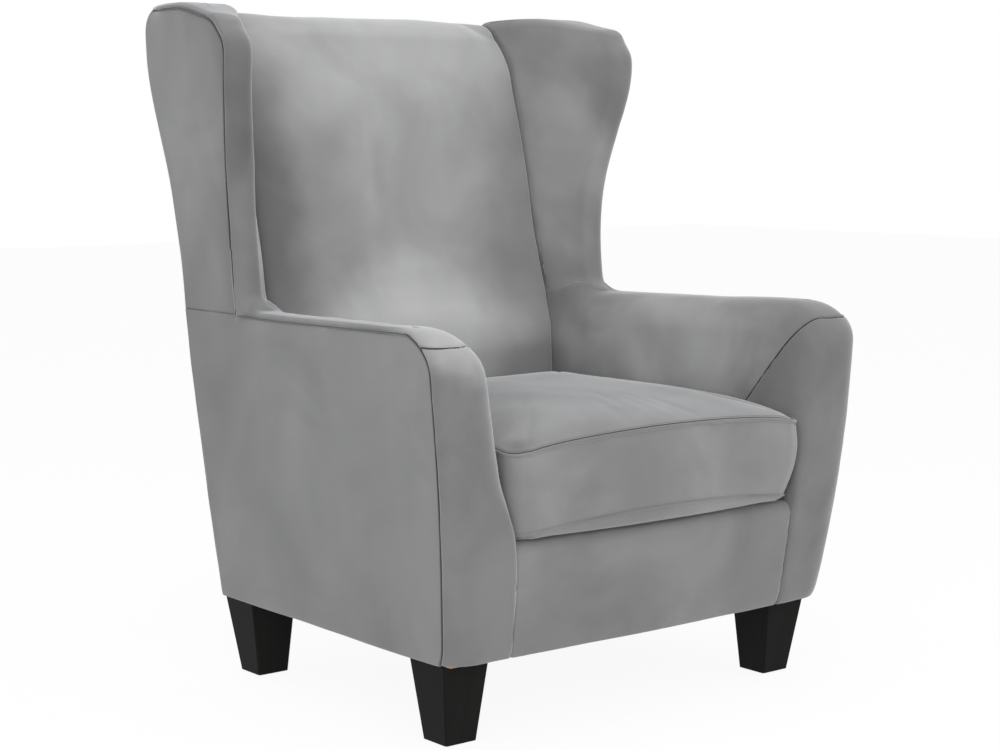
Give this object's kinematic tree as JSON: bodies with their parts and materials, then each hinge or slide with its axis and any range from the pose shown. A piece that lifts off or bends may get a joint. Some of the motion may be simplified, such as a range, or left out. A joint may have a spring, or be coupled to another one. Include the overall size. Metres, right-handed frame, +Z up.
{
  "type": "wingback armchair",
  "caption": "Upholstered armchair with a tall raked back, side wings, padded arms, a loose seat cushion and short tapered legs.",
  "frame": {"origin": "on the floor, under the middle of the whole chair", "axes": "+Z up, the chair faces -Y, +X to the left of the person who sits in it"},
  "size_m": [0.8008, 0.7739, 1.026],
  "materials": {
    "velvet": "soft mid-grey velvet with a short brushed pile",
    "panel_velvet": "the same velvet, stretched flat over the outside panels",
    "lining": "plain dark woven lining",
    "foam": "cut upholstery foam",
    "zip": "dark nylon",
    "timber": "planed hardwood, unfinished",
    "black_wood": "black satin lacquer over wood",
    "steel": "bright drawn steel",
    "webbing": "woven webbing"
  },
  "bodies": {
    "frame": {"arm_facing_left": "velvet", "arm_facing_right": "velvet", "arm_pad_left": "velvet", "arm_pad_right": "velvet", "wing_pad_left": "velvet", "wing_pad_right": "velvet", "inside_back_pad": "velvet", "front_rail_cover": "velvet", "outside_arm_panel_left": "panel_velvet", "outside_arm_panel_right": "panel_velvet", "outside_wing_panel_left": "panel_velvet", "outside_wing_panel_right": "panel_velvet", "outside_back_panel": "panel_velvet", "seat_deck": "lining", "dust_cover": "lining", "leg_glide_front_left": "zip", "leg_glide_front_right": "zip", "leg_glide_rear_left": "zip", "leg_glide_rear_right": "zip", "front_rail": "timber", "back_rail": "timber", "back_top_rail": "timber", "back_tuck_rail": "timber", "rear_spring_rail": "timber", "side_rail_left": "timber", "side_rail_right": "timber", "arm_post_left": "timber", "arm_post_right": "timber", "arm_rail_left": "timber", "arm_rail_right": "timber", "arm_tuck_rail_left": "timber", "arm_tuck_rail_right": "timber", "back_post_left": "timber", "back_post_right": "timber", "wing_frame_left": "timber", "wing_frame_right": "timber", "corner_block_front_left": "timber", "corner_block_front_right": "timber", "corner_block_rear_left": "timber", "corner_block_rear_right": "timber", "leg_front_left": "black_wood", "leg_front_right": "black_wood", "leg_rear_left": "black_wood", "leg_rear_right": "black_wood", "leg_bolt_front_left": "steel", "leg_bolt_front_right": "steel", "leg_bolt_rear_left": "steel", "leg_bolt_rear_right": "steel", "seat_spring_1": "steel", "seat_spring_2": "steel", "seat_spring_3": "steel", "seat_spring_4": "steel", "seat_spring_5": "steel", "back_strap_1": "webbing", "back_strap_2": "webbing", "back_strap_3": "webbing"},
    "seat_cushion": {"cushion_cover": "velvet", "cushion_foam": "foam", "cushion_zip": "zip"}
  },
  "joints": [
    {"name": "cushion_lift", "type": "slide", "parent": "frame", "child": "seat_cushion", "axis": [0, 0, 1], "range_m": [0, 0.3]}
  ]
}
